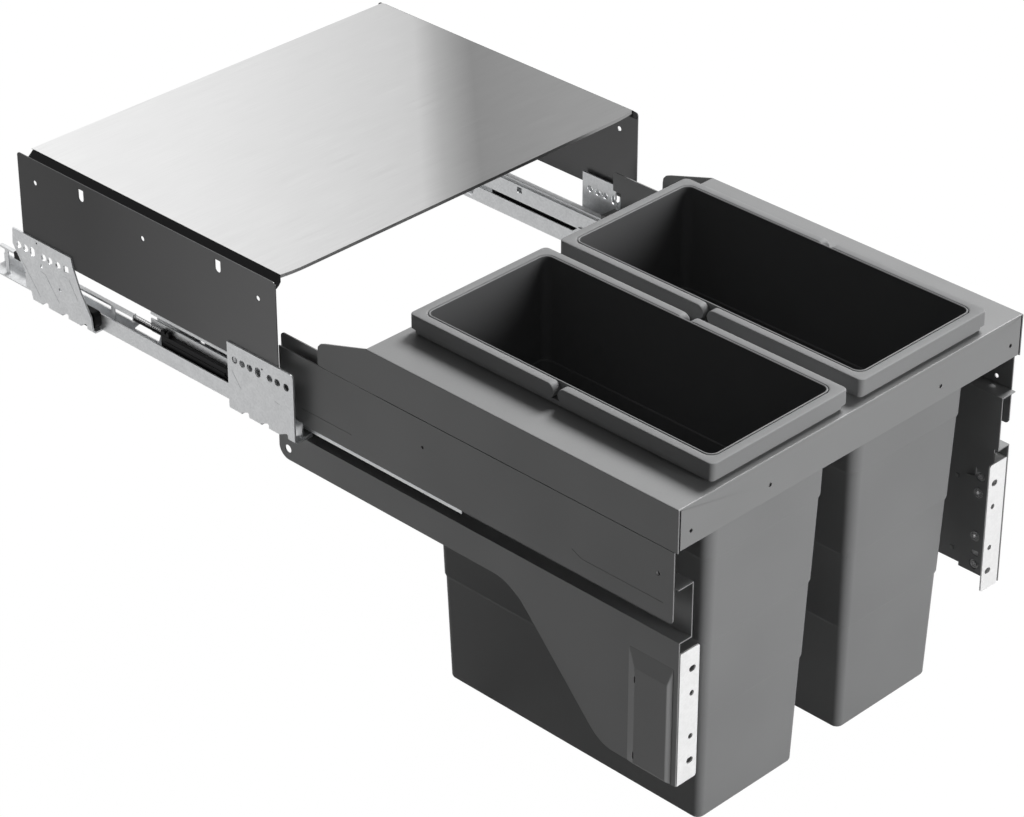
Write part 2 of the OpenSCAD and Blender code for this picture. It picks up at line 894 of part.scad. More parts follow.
// A cam turning in the adjuster plate, its pin in the bracket's slot.
module cam(z) {
    head = adjuster_x - 1.6;
    face = adjuster_x + adjuster_sheet + 0.2;
    in_drawer()
        translate([0, adjust_y, z])
            rotate([0, 90, 0])
                difference() {
                    union() {
                        translate([0, 0, head])
                            cylinder(r = cam_r + 1, h = 1.3);
                        translate([0, 0, head])
                            cylinder(r = cam_r, h = face - head);
                        translate([0, cam_throw, face - past])
                            cylinder(r = cam_pin_r, h = arm_plate_x - 0.3 - face + past);
                    }
                    translate([0, 0, head - past])
                        cylinder(r = 2.4, h = 2 + past);
                }
}

// One line a sub-part

module left_cabinet_plate() { color(dark_grey) left() cabinet_plate(); }
module right_cabinet_plate() { color(dark_grey) cabinet_plate(); }
module left_lid_carrier() { color(black) left() lid_carrier(); }
module right_lid_carrier() { color(black) lid_carrier(); }
module left_front_bracket() { color(zinc) left() front_bracket(); }
module right_front_bracket() { color(zinc) front_bracket(); }
module left_rear_bracket() { color(zinc) left() rear_bracket(); }
module right_rear_bracket() { color(zinc) rear_bracket(); }
module left_cabinet_rail() { color(zinc) left() cabinet_rail(); }
module right_cabinet_rail() { color(zinc) cabinet_rail(); }
module left_damper_housing() { color(black) left() damper_housing(); }
module right_damper_housing() { color(black) damper_housing(); }
module left_spring_track() { color(zinc) left() spring_track(); }
module right_spring_track() { color(zinc) spring_track(); }
module left_rail_foot() { color(black) left() rail_foot(); }
module right_rail_foot() { color(black) rail_foot(); }
module left_rail_end_clip() { color(black) left() rail_end_clip(); }
module right_rail_end_clip() { color(black) rail_end_clip(); }
module left_catch() { color(black) left() catch(); }
module right_catch() { color(black) catch(); }
module left_catch_spring() { color(steel) left() catch_spring(); }
module right_catch_spring() { color(steel) catch_spring(); }
module left_middle_rail() { color(zinc) left() middle_rail(); }
module right_middle_rail() { color(zinc) middle_rail(); }
module left_lower_cage() { color(black) left() lower_cage(); }
module right_lower_cage() { color(black) lower_cage(); }
module left_upper_cage() { color(black) left() upper_cage(); }
module right_upper_cage() { color(black) upper_cage(); }
module left_drawer_rail() { color(zinc) left() drawer_rail(); }
module right_drawer_rail() { color(zinc) drawer_rail(); }
module left_side_panel() { color(dark_grey) left() side_panel(); }
module right_side_panel() { color(dark_grey) side_panel(); }
module left_door_arm() { color(dark_grey) left() door_arm(); }
module right_door_arm() { color(dark_grey) door_arm(); }
module left_front_cover() { color(plastic) left() front_cover(); }
module right_front_cover() { color(plastic) front_cover(); }
module left_adjuster_plate() { color(dark_grey) left() adjuster_plate(); }
module right_adjuster_plate() { color(dark_grey) adjuster_plate(); }
module left_clamp_screws() { color(steel) left() clamp_screws(); }
module right_clamp_screws() { color(steel) clamp_screws(); }
module left_bin() { color(plastic) left() bin(); }
module right_bin() { color(plastic) bin(); }
module left_bin_front_handle() { color(plastic) left() handle(); }
module left_bin_rear_handle() { color(plastic) left() rear_handle(); }
module right_bin_front_handle() { color(plastic) handle(); }
module right_bin_rear_handle() { color(plastic) rear_handle(); }
module left_door_bracket() { color(zinc) left() door_bracket(); }
module right_door_bracket() { color(zinc) door_bracket(); }
module left_upper_cam() { color(steel) left() cam(cam_z[0]); }
module left_lower_cam() { color(steel) left() cam(cam_z[1]); }
module right_upper_cam() { color(steel) cam(cam_z[0]); }
module right_lower_cam() { color(steel) cam(cam_z[1]); }

left_cabinet_plate();
right_cabinet_plate();
lid_shelf();
left_lid_carrier();
right_lid_carrier();
left_front_bracket();
right_front_bracket();
left_rear_bracket();
right_rear_bracket();
left_cabinet_rail();
right_cabinet_rail();
rail_rivets();
left_damper_housing();
right_damper_housing();
left_spring_track();
right_spring_track();
left_rail_foot();
right_rail_foot();
left_rail_end_clip();
right_rail_end_clip();
left_catch();
right_catch();
left_catch_spring();
right_catch_spring();
left_middle_rail();
right_middle_rail();
left_lower_cage();
right_lower_cage();
lower_rollers();
left_upper_cage();
right_upper_cage();
upper_rollers();
left_drawer_rail();
right_drawer_rail();
frame_top_plate();
left_side_panel();
right_side_panel();
left_door_arm();
right_door_arm();
left_front_cover();
right_front_cover();
left_adjuster_plate();
right_adjuster_plate();
left_clamp_screws();
right_clamp_screws();
left_bin();
right_bin();
left_bin_front_handle();
left_bin_rear_handle();
right_bin_front_handle();
right_bin_rear_handle();
left_door_bracket();
right_door_bracket();
left_upper_cam();
left_lower_cam();
right_upper_cam();
right_lower_cam();
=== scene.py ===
# %% [markdown]
# # Dressing a pull out bin frame
# The object is the inside of a kitchen base cabinet: two waste bins hang in a steel frame that
# runs out on slides, under a brushed steel lid that stays in the cabinet. The solids come from
# the imported model, in metres, already in their places. This lesson gives them their finishes,
# builds the pieces that need rounder forms than a plain solid has, and sets up the camera and
# the light for a photograph.
# %% Load the frame
import json
import math
import bmesh
import bpy
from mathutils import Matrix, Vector


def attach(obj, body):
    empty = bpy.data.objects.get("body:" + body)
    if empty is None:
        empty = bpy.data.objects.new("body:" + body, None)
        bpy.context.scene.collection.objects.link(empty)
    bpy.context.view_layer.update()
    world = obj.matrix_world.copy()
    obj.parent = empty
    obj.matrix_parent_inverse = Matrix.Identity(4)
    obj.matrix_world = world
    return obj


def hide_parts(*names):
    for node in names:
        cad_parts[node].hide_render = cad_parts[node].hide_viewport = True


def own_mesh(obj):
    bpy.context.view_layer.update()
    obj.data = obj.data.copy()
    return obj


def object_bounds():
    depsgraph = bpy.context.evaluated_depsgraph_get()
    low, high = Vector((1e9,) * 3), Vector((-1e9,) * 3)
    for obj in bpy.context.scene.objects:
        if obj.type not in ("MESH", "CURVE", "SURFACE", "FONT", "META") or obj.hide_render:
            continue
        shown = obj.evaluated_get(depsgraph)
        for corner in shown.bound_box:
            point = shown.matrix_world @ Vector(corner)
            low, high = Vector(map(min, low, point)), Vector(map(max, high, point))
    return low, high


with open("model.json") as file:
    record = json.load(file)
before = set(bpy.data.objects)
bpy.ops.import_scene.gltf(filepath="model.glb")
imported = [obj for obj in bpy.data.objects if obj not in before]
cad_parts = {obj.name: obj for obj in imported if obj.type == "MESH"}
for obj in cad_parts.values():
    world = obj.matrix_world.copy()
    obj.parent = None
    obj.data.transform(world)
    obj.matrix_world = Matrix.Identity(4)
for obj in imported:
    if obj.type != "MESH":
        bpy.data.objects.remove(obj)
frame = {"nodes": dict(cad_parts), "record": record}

cad_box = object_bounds()
solids = frame["nodes"]

# %% [markdown]
# ## Two small helpers
# Every camera, lamp and mesh in this lesson becomes an object in the same two steps, and cameras
# and lamps are both aimed along a direction. Each of the two jobs gets a function.
# %% Put an object in the scene and aim it
def put(name, data):
    made = bpy.data.objects.new(name, data)
    bpy.context.collection.objects.link(made)
    return made


def aim(made, towards):
    made.rotation_euler = Vector(towards).to_track_quat("-Z", "Y").to_euler()


print("helpers ready")

# %% [markdown]
# ## The camera
# The photograph was taken with a long lens from the front left, so parallel edges almost stay
# parallel. A camera can be aimed with a Track To constraint, but working out its direction from
# an azimuth and an elevation keeps the exact angles that were measured.
# %% Aim the camera
AZIMUTH, ELEVATION = math.radians(-45.347), math.radians(31.222)
CAMERA_AT = (-2.45502, -2.47374, 1.97015)
LENS, SENSOR = 127.2, 36
SEES_AS_FAR_AS = 60

camera_data = bpy.data.cameras.new("camera")
camera_data.lens, camera_data.sensor_width = LENS, SENSOR
camera_data.clip_end = SEES_AS_FAR_AS
camera = put("camera", camera_data)
level = math.cos(ELEVATION)
towards = Vector((-math.sin(AZIMUTH) * level, math.cos(AZIMUTH) * level, -math.sin(ELEVATION)))
camera.location = CAMERA_AT
aim(camera, towards)
bpy.context.scene.camera = camera
print("camera looks along", [round(v, 3) for v in towards])

# %% [markdown]
# ## Writing materials as sums
# A procedural material is arithmetic on positions in space. Wiring Math nodes by hand hides that
# arithmetic, so a small class stands for one socket and turns +, - and * into the nodes. A second
# class holds a node tree and adds any other node in a single call, and a third one is a material
# with one Principled surface. The world and the floor use the second class too. Noise seldom
# leaves the middle of its range from 0 to 1, so each ramp on it starts and ends nearer to 0.5.
# %% A socket that can be calculated with
class Value:
    def __init__(self, tree, socket):
        self.tree, self.socket = tree, socket

    def combine(self, operation, other):
        node = self.tree.nodes.new("ShaderNodeMath")
        node.operation = operation
        for slot, item in zip(node.inputs, (self, other)):
            if isinstance(item, Value):
                self.tree.links.new(item.socket, slot)
            else:
                slot.default_value = item
        return Value(self.tree, node.outputs[0])

    def __add__(self, other):
        return self.combine("ADD", other)

    def __sub__(self, other):
        return self.combine("SUBTRACT", other)

    def __mul__(self, other):
        return self.combine("MULTIPLY", other)

    def larger(self, other):
        return self.combine("MAXIMUM", other)


print("a socket can be added, subtracted, multiplied and compared")

# %% A tree that adds its nodes in one call
class Nodes:
    def __init__(self, tree):
        self.tree = tree
        self.tree.nodes.clear()

    def node(self, kind, settings=None, output=0, **inputs):
        """An input is given by its name, or as at0, at1 and so on by its place."""
        made = self.tree.nodes.new("ShaderNode" + kind)
        for key, value in (settings or {}).items():
            setattr(made, key, value)
        for key, value in inputs.items():
            slot = made.inputs[int(key[2:]) if key[:2] == "at" else key.replace("_", " ")]
            if isinstance(value, Value):
                self.tree.links.new(value.socket, slot)
            else:
                slot.default_value = value
        return Value(self.tree, made.outputs[output]) if made.outputs else None

    def ramp(self, factor, low, high, start=0.0, end=1.0):
        return self.node("MapRange", Value=factor, From_Min=low, From_Max=high, To_Min=start,
                         To_Max=end)


print("a tree adds its nodes in one call")

# %% A material with one surface
MID_NOISE, WIDE_NOISE = (0.35, 0.65), (0.3, 0.7)


class Finish(Nodes):
    def __init__(self, name, **constants):
        self.material = bpy.data.materials.new(name)
        self.material.use_nodes = True
        super().__init__(self.material.node_tree)
        self.surface = self.tree.nodes.new("ShaderNodeBsdfPrincipled")
        end = self.tree.nodes.new("ShaderNodeOutputMaterial")
        self.tree.links.new(self.surface.outputs[0], end.inputs["Surface"])
        for socket, value in constants.items():
            self.surface.inputs[socket.replace("_", " ")].default_value = value

    def feed(self, socket, value):
        self.tree.links.new(value.socket, self.surface.inputs[socket])

    def place(self, scale=(1, 1, 1)):
        here = self.node("TexCoord", output="Object")
        return self.node("Mapping", Vector=here, Scale=scale)

    def noise(self, scale, detail=2.0, roughness=0.5, stretch=(1, 1, 1)):
        return self.node("TexNoise", Vector=self.place(stretch), Scale=scale, Detail=detail,
                         Roughness=roughness)

    def colour(self, pattern, limits, dark, light):
        blend = self.node("Mix", {"data_type": "RGBA"}, output=2,
                          at0=self.ramp(pattern, *limits), at6=(*dark, 1), at7=(*light, 1))
        self.feed("Base Color", blend)

    def gloss(self, pattern, limits, smooth, rough):
        self.feed("Roughness", self.ramp(pattern, *limits, smooth, rough))

    def relief(self, height, depth):
        self.feed("Normal", self.node("Bump", Height=height, Strength=1.0, Distance=depth))


def shades(tone, darker=0.95, lighter=1.05):
    return [c * darker for c in tone], [c * lighter for c in tone]


print("a finish has a colour, a gloss and a relief")

# %% [markdown]
# ## Powder coated steel
# The frame, the side panels and the cabinet's plates are folded sheet, powder coated in a dark
# grey. Close to, the coat has a faint orange peel, and it is a little uneven in tone and gloss.
# Three noises make that: a coarse one for tone and gloss, a very fine one that is mixed into the
# tone, and a fine one for the relief. The cabinet's plates are darker and less shiny, and their
# front ends get painted light: a clear coat that fades out from front to back makes them paler.
# %% Powder coat
COAT_CLOUD, COAT_GRAIN, ORANGE_PEEL = 9.0, 1500.0, 900.0
PEEL_DEPTH = 0.00004
# Where the painted light on the plates' front ends fades out, along y in metres.
PAINTED_LIGHT_FADES = (0.03, 0.34)


def powder_coat(name, tone, roughness=0.42, shine=0.65, painted_front_light=0.0):
    coat = Finish(name, Metallic=0.0, Specular_IOR_Level=shine, Coat_Roughness=0.35)
    cloud = coat.noise(COAT_CLOUD, detail=3.0)
    grain = coat.noise(COAT_GRAIN, detail=1.0)
    coat.colour(cloud * 0.5 + grain * 0.5, MID_NOISE, *shades(tone))
    # Painted light: the clear coat is strongest at the front ends and fades out towards the back.
    if painted_front_light:
        depth = coat.node("SeparateXYZ", output=1, Vector=coat.place())
        coat.feed("Coat Weight", coat.ramp(depth, *PAINTED_LIGHT_FADES, painted_front_light, 0.0))
    coat.gloss(cloud, WIDE_NOISE, roughness - 0.04, roughness + 0.05)
    coat.relief(coat.noise(ORANGE_PEEL, detail=1.0), PEEL_DEPTH)
    return coat.material


DARK_GREY, PLATE_GREY = (0.272, 0.274, 0.276), (0.105, 0.105, 0.107)
dark_coat = powder_coat("dark_powder_coat", DARK_GREY)
# The last number is the coat weight of the painted light on the plates' front ends.
plate_coat = powder_coat("cabinet_plate_coat", PLATE_GREY, 0.36, 0.27, 0.7)
print(dark_coat.name, "and", plate_coat.name)

# %% [markdown]
# ## Brushed and galvanised steel
# The small bright parts and the lid are brushed steel. Brushing draws long thin scratches, so its
# grain is noise that is squeezed or stretched along one axis.
# %% Brushed steel
SCRATCHES, SCRATCH_DEPTH = 700.0, 0.000012


def brushed_steel(name, tone, roughness, stretch):
    steel = Finish(name, Metallic=1.0)
    grain = steel.noise(SCRATCHES, detail=4.0, roughness=0.6, stretch=stretch)
    steel.colour(grain, WIDE_NOISE, *shades(tone, 0.96, 1.03))
    steel.gloss(grain, WIDE_NOISE, roughness - 0.03, roughness + 0.04)
    steel.relief(grain, SCRATCH_DEPTH)
    return steel.material


bright_steel = brushed_steel("plain_bright_steel", (0.62, 0.62, 0.62), 0.28, (1, 0.1, 1))
print(bright_steel.name)

# %% [markdown]
# The lid's sheen is a wide soft band: pale on the left, and darker from a line that runs
# diagonally across the sheet. A card in the studio made it, but a card would need new light on
# everything else. Writing the band into the colour is simpler: two object coordinates, weighted
# and added, measure how far along the diagonal a point lies, and a colour ramp holds the tones on
# the way.
# %% The lid's steel
ALONG_X, ALONG_Y, ALONG_START = 1.009, 0.929, 0.726
LID_SCRATCHES, LID_STRETCH, LID_DEPTH = 900.0, (0.015, 1, 1), 0.000006
SHEEN = [(0.08, 0.91), (0.30, 0.81), (0.46, 0.70), (0.60, 0.60), (0.64, 0.56), (0.675, 0.385),
         (0.705, 0.29), (0.73, 0.222), (0.78, 0.237), (0.86, 0.26), (1.0, 0.28)]


def sheen_steel(name, roughness):
    steel = Finish(name, Metallic=1.0)
    x, y = [steel.node("SeparateXYZ", output=k, Vector=steel.place()) for k in (0, 1)]
    band = steel.node("ValToRGB", Fac=x * ALONG_X - y * ALONG_Y + ALONG_START)
    stops = band.socket.node.color_ramp
    for _ in SHEEN[2:]:
        stops.elements.new(0.5)
    for stop, (place, tone) in zip(stops.elements, SHEEN):
        stop.position = place
        stop.color = (tone, tone, tone, 1)
    grain = steel.noise(LID_SCRATCHES, detail=3.0, roughness=0.6, stretch=LID_STRETCH)
    fine = steel.ramp(grain, *WIDE_NOISE, 0.975, 1.02)
    multiply = {"data_type": "RGBA", "blend_type": "MULTIPLY"}
    steel.feed("Base Color", steel.node("Mix", multiply, output=2, at0=1.0, at6=band, at7=fine))
    steel.gloss(grain, WIDE_NOISE, roughness - 0.02, roughness + 0.03)
    steel.relief(grain, LID_DEPTH)
    return steel.material


lid_steel = sheen_steel("brushed_lid_steel", 0.30)
print(lid_steel.name, "with", len(SHEEN), "tones")

# %% [markdown]
# The slides and their brackets are galvanised: zinc sets in crystals, which are Voronoi cells of
# slightly different greys over a soft cloud. The white zinc on the door brackets is the same with
# paler tones that lie closer together, so its pattern hardly shows.
# %% Galvanised steel
CRYSTALS, ZINC_CLOUD, FLAKE_DEPTH = 420.0, 60.0, 0.000004
ZINC_LIMITS, WHOLE_RANGE = (0.25, 0.75), (0.0, 1.0)


def galvanised(name, dark, light, roughness=0.38, metallic=0.5):
    zinc = Finish(name, Metallic=metallic)
    cells = zinc.node("TexVoronoi", {"feature": "F1"}, output="Color", Vector=zinc.place(),
                      Scale=CRYSTALS)
    flake = zinc.node("SeparateColor", Color=cells)
    cloud = zinc.noise(ZINC_CLOUD, detail=3.0)
    zinc.colour(flake * 0.35 + cloud * 0.65, ZINC_LIMITS, dark, light)
    zinc.gloss(flake, WHOLE_RANGE, roughness - 0.04, roughness + 0.06)
    zinc.relief(flake, FLAKE_DEPTH)
    return zinc.material


slide_zinc = galvanised("galvanised_slides", (0.70, 0.71, 0.72), (0.84, 0.85, 0.86), metallic=0.6)
door_zinc = galvanised("white_zinc", (0.90, 0.90, 0.90), (0.97, 0.97, 0.97), 0.45)
print(slide_zinc.name, "and", door_zinc.name)

# %% [markdown]
# ## Plastics
# The bins and their handles are moulded in a dark grey with a fine grain. Little light reaches
# the inside of a bin, and the photograph shows it darker still, so the inner walls get a darker
# plastic. The front covers are a little paler and shinier than the bins. The carriers, cages and
# housings on the slides are black. One function makes all four.
# %% Moulded plastic
PLASTIC_CLOUD = 6.0


def moulded(name, tone, roughness, grain_size, depth, shine=0.1):
    plastic = Finish(name, Metallic=0.0, Specular_IOR_Level=shine)
    grain = plastic.noise(grain_size, detail=1.0)
    cloud = plastic.noise(PLASTIC_CLOUD, detail=2.0)
    plastic.colour(cloud * 0.7 + grain * 0.3, MID_NOISE, *shades(tone))
    plastic.gloss(grain, WIDE_NOISE, roughness - 0.03, roughness + 0.04)
    plastic.relief(grain, depth)
    return plastic.material


BIN_GREY, INSIDE_GREY = (0.328, 0.330, 0.333), (0.125, 0.126, 0.128)
COVER_GREY, BLACK = (0.345, 0.347, 0.349), (0.018, 0.018, 0.019)
bin_plastic = moulded("bin_plastic", BIN_GREY, 0.5, 1100.0, 0.00003)
bin_inside = moulded("bin_inside_plastic", INSIDE_GREY, 0.5, 1100.0, 0.00003)
cover_plastic = moulded("cover_plastic", COVER_GREY, 0.45, 1100.0, 0.00003, 0.65)
black_plastic = moulded("black_plastic", BLACK, 0.42, 1400.0, 0.00002)
print(bin_plastic.name, bin_inside.name, cover_plastic.name, black_plastic.name)

# %% [markdown]
# ## Giving each solid its finish
# The record says which material slot each solid belongs to, so a table from slot to finish paints
# nearly all of them. Only the two cabinet plates share a slot with the drawer's sheets and take a
# finish of their own. A slot that isn't in the table would stop the script here.
# %% Paint the solids
FINISHES = {"dark_coat": dark_coat, "lid_steel": lid_steel, "galvanised": slide_zinc,
            "bracket_zinc": door_zinc, "bright_steel": bright_steel,
            "black_plastic": black_plastic, "bin_plastic": bin_plastic}
for subpart in frame["record"]["subparts"]:
    mesh = solids[subpart["node"]].data
    mesh.materials.clear()
    plate = subpart["node"].endswith("cabinet_plate")
    mesh.materials.append(plate_coat if plate else FINISHES[subpart["material_slot"]])

# %% [markdown]
# ## The bins
# A moulded bin has smooth inner walls, rounded corners and a few small steps outside, where one
# bin nests in the next. It could be carved from a block with modifiers, but a loft is more
# direct: rings of the same number of points are stacked from the bottom of the outer wall, over
# the rim and down the inner wall, and neighbouring rings are joined with faces.
# %% A ring with rounded corners
CORNER_STEPS = 9


def rounded_ring(half, radius, height, middle):
    points = []
    for quarter, (sx, sy) in enumerate(((1, 1), (-1, 1), (-1, -1), (1, -1))):
        for k in range(CORNER_STEPS + 1):
            turn = math.radians(90 * quarter + 90 * k / CORNER_STEPS)
            points.append((middle[0] + sx * (half[0] - radius) + radius * math.cos(turn),
                           middle[1] + sy * (half[1] - radius) + radius * math.sin(turn),
                           height))
    return points


print("a ring has", len(rounded_ring((1, 1), 0.1, 0, (0, 0))), "points")

# %% A loft of rings
SMOOTH_BELOW = math.radians(30)


def loft(name, rings, material):
    count = len(rings[0])
    last = (len(rings) - 1) * count
    faces = []
    for low in range(0, last, count):
        high = low + count
        for j in range(count):
            beside = (j + 1) % count
            faces.append((low + j, low + beside, high + beside, high + j))
    faces += [tuple(range(count))[::-1], tuple(range(last, last + count))]
    mesh = bpy.data.meshes.new(name)
    mesh.from_pydata([point for ring in rings for point in ring], [], faces)
    work = bmesh.new()
    work.from_mesh(mesh)
    bmesh.ops.recalc_face_normals(work, faces=work.faces)
    work.to_mesh(mesh)
    work.free()
    mesh.polygons.foreach_set("use_smooth", [True] * len(mesh.polygons))
    mesh.set_sharp_from_angle(angle=SMOOTH_BELOW)
    mesh.materials.append(material)
    return put(name, mesh)


print("edges flatter than", round(math.degrees(SMOOTH_BELOW)), "degrees are shaded smooth")

# %% [markdown]
# Each ring of a bin is written as a height, how far it lies inside the bin's outline, and the
# radius of its corners in millimetres. Where the radius is 0, it follows from the inset: the
# corners get tighter as the bin narrows. The three ledges step in on both sides of the wall, so
# outer and inner wall share one list of them.
# %% The bin's walls
TOP_PLATE, DRAWER_FRONT = 0.0877, -0.538
BIN_AT = (0.1117, DRAWER_FRONT + 0.2178)
BIN_HALF, HANDLE_HALF = (0.0905, 0.200), (0.1017, 0.2114)
FLANGE, RIM = TOP_PLATE + 0.0067, TOP_PLATE + 0.0242
BIN_WALL = 0.002
LEDGES = [(-0.103, 0.0024, 0.0010), (-0.207, 0.0069, 0.0055), (-0.302, 0.0111, 0.0097)]
LEDGE_SLOPE = (-0.0002, 0.0034, 0.0040)
CORNERS_TIGHTEN = 333  # millimetres of radius for each metre of inset
OUTER_BOTTOM = [(-0.4356, 0.0181, 6), (-0.4346, 0.0161, 8), (-0.4326, 0.0151, 9)]
INNER_BOTTOM = [(-0.4186, 0.0169, 0), (-0.4270, 0.0183, 8), (-0.4312, 0.0217, 9),
                (-0.4330, 0.0263, 10), (-0.4336, 0.0321, 12)]


def with_radii(steps, widest):
    return [(z, inset, radius or widest - inset * CORNERS_TIGHTEN) for z, inset, radius in steps]


def outer_wall():
    """From the bottom up."""
    steps = list(OUTER_BOTTOM)
    below, slope, above = LEDGE_SLOPE
    for low, deep, shallow in LEDGES[::-1]:
        steps += [(low + below, deep, 0), (low, deep - 0.0001, 0),
                  (low + slope, shallow + 0.0001, 0), (low + above, shallow, 0)]
    return with_radii(steps + [(0.0, -0.0012, 0)], 14)


def inner_wall():
    """From the rim down to the floor."""
    steps = [(-0.0003, BIN_WALL, 0)]
    for low, deep, shallow in LEDGES:
        steps += [(low + 0.0014, shallow + BIN_WALL, 0), (low, deep + BIN_WALL, 0)]
    return with_radii(steps + INNER_BOTTOM, 12)


print(len(outer_wall()), "rings outside and", len(inner_wall()), "inside")

# %% [markdown]
# Between the two walls lie the flange, which carries the handles, and the rim. Every face whose
# points all lie on the inner side gets the darker plastic.
# %% Loft both bins
FLANGE_STEPS = [(0.0, 0.005, 5), (0.002, 0.005, 5), (0.002, 0.003, 6), (0.0067, 0.003, 6)]
RIM_OUTSIDE = [(FLANGE, 0.0, 11), (RIM - 0.0006, 0.0, 11), (RIM, 0.0005, 10.5),
               (RIM, 0.0015, 9.8)]
RIM_INSIDE = [(RIM - 0.0006, 0.002, 9.2), (FLANGE, 0.002, 9.2)]


def rings_of(half, steps, middle, base=TOP_PLATE):
    return [rounded_ring((half[0] - inset, half[1] - inset), radius / 1000, base + z, middle)
            for z, inset, radius in steps]


SIDES = (("left", -1), ("right", 1))
for side, sign in SIDES:
    middle = (sign * BIN_AT[0], BIN_AT[1])
    outside = rings_of(BIN_HALF, outer_wall(), middle)
    outside += rings_of(HANDLE_HALF, FLANGE_STEPS, middle)
    outside += rings_of(BIN_HALF, RIM_OUTSIDE, middle, 0.0)
    inside = rings_of(BIN_HALF, RIM_INSIDE, middle, 0.0)
    inside += rings_of(BIN_HALF, inner_wall(), middle)
    bin_piece = loft(side + "_moulded_bin", outside + inside, bin_plastic)
    bin_piece.data.materials.append(bin_inside)
    first_inside = len(outside) * len(outside[0])
    for face in bin_piece.data.polygons:
        face.material_index = int(min(face.vertices) >= first_inside)
    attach(bin_piece, "drawer")
    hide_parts(side + "_bin")
    print(bin_piece.name, len(bin_piece.data.polygons), "faces")

# %% [markdown]
# ## The handles
# Each bin has two U shaped handles that lie on its flange, end to end. Their top edges are
# rounded and their ends are round noses. This is the same loft again, but the rings now stand
# upright and travel round the U: each one spans from the bin's side of the handle to the outside,
# and in the noses the rings get lower towards the tip.
# %% The handle's section and path
HANDLE_TALL, HANDLE_WIDE = RIM - FLANGE, 0.0104
LOWER_EDGE, UPPER_EDGE = 0.001, 0.0013
EDGE_STEPS, BEND_STEPS = 4, 8
NOSE = HANDLE_TALL / 2
NOSE_RINGS, NOSE_STEP = 7, 12
HALF_GAP, BESIDE_RIM = 0.0026, 0.0008
STOP = HALF_GAP + NOSE
INNER_HALF = (BIN_HALF[0] + BESIDE_RIM, BIN_HALF[1] + BESIDE_RIM)
INNER_BEND, OUTER_BEND = 0.0118, 0.006


def handle_section():
    points = [(0.0, LOWER_EDGE), (LOWER_EDGE, 0.0), (HANDLE_WIDE - LOWER_EDGE, 0.0),
              (HANDLE_WIDE, LOWER_EDGE)]
    for corner, start in ((HANDLE_WIDE - UPPER_EDGE, 0), (UPPER_EDGE, 90)):
        for k in range(EDGE_STEPS + 1):
            turn = math.radians(start + 90 * k / EDGE_STEPS)
            points.append((corner + UPPER_EDGE * math.cos(turn),
                           HANDLE_TALL - UPPER_EDGE + UPPER_EDGE * math.sin(turn)))
    return points


def u_path(half, radius):
    points = [(-half[0], -STOP)]
    for cx, start in ((-half[0] + radius, 180), (half[0] - radius, 270)):
        for k in range(BEND_STEPS + 1):
            turn = math.radians(start + 90 * k / BEND_STEPS)
            points.append((cx + radius * math.cos(turn),
                           -half[1] + radius + radius * math.sin(turn)))
    return points + [(half[0], -STOP)]


print("the handle's section has", len(handle_section()), "points")

# %% The four handles
def handle_rings(middle, facing):
    paths = list(zip(u_path(INNER_HALF, INNER_BEND), u_path(HANDLE_HALF, OUTER_BEND)))
    stations = [(pair, 0.0, 1.0) for pair in paths]
    for k in range(1, NOSE_RINGS + 1):
        turn = math.radians(NOSE_STEP * k)
        tip = (NOSE * math.sin(turn), math.cos(turn))
        stations = [(paths[0], *tip)] + stations + [(paths[-1], *tip)]
    rings = []
    for ((ix, iy), (ox, oy)), shift, tall in stations:
        ring = []
        for across, up in handle_section():
            t = across / HANDLE_WIDE
            ring.append((middle[0] + ix + (ox - ix) * t,
                         middle[1] + facing * (iy + (oy - iy) * t + shift),
                         FLANGE + NOSE + (up - NOSE) * tall))
        rings.append(ring)
    return rings


for side, sign in SIDES:
    for end, facing in (("front", 1), ("rear", -1)):
        rings = handle_rings((sign * BIN_AT[0], BIN_AT[1]), facing)
        handle = loft(f"{side}_{end}_rounded_handle", rings, bin_plastic)
        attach(handle, "drawer")
        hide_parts(f"{side}_bin_{end}_handle")
        print(handle.name, len(handle.data.polygons), "faces")

# %% [markdown]
# ## The catch springs
# A coil is the shape that Geometry Nodes draw best: a spiral curve, a small circle as its
# section, and Curve to Mesh between them. The number of curls, the radius, the wire and the
# length are inputs of the tree, so the same tree would draw any other coil. Each spring shortens
# when its catch comes back, but here it is drawn at one length.
# %% The coil tree and its inputs
coil_tree = bpy.data.node_groups.new("coil_spring", "GeometryNodeTree")
coil_tree.interface.new_socket("Geometry", in_out="OUTPUT", socket_type="NodeSocketGeometry")
INPUTS = {"Curls": ("NodeSocketFloat", 15.0), "Radius": ("NodeSocketFloat", 0.0021),
          "Wire": ("NodeSocketFloat", 0.00035), "Length": ("NodeSocketFloat", 0.0475),
          "Finish": ("NodeSocketMaterial", None)}
socket_ids = {}
for label, (kind, value) in INPUTS.items():
    made = coil_tree.interface.new_socket(label, in_out="INPUT", socket_type=kind)
    socket_ids[label] = made.identifier
    if value is not None:
        made.default_value = value
print("coil tree takes", ", ".join(socket_ids))

# %% The coil tree's nodes
def coil_node(kind, **values):
    made = coil_tree.nodes.new(kind)
    for key, value in values.items():
        slot = made.inputs[key.replace("_", " ")]
        if isinstance(value, bpy.types.NodeSocket):
            coil_tree.links.new(value, slot)
        else:
            slot.default_value = value
    return made.outputs[0]


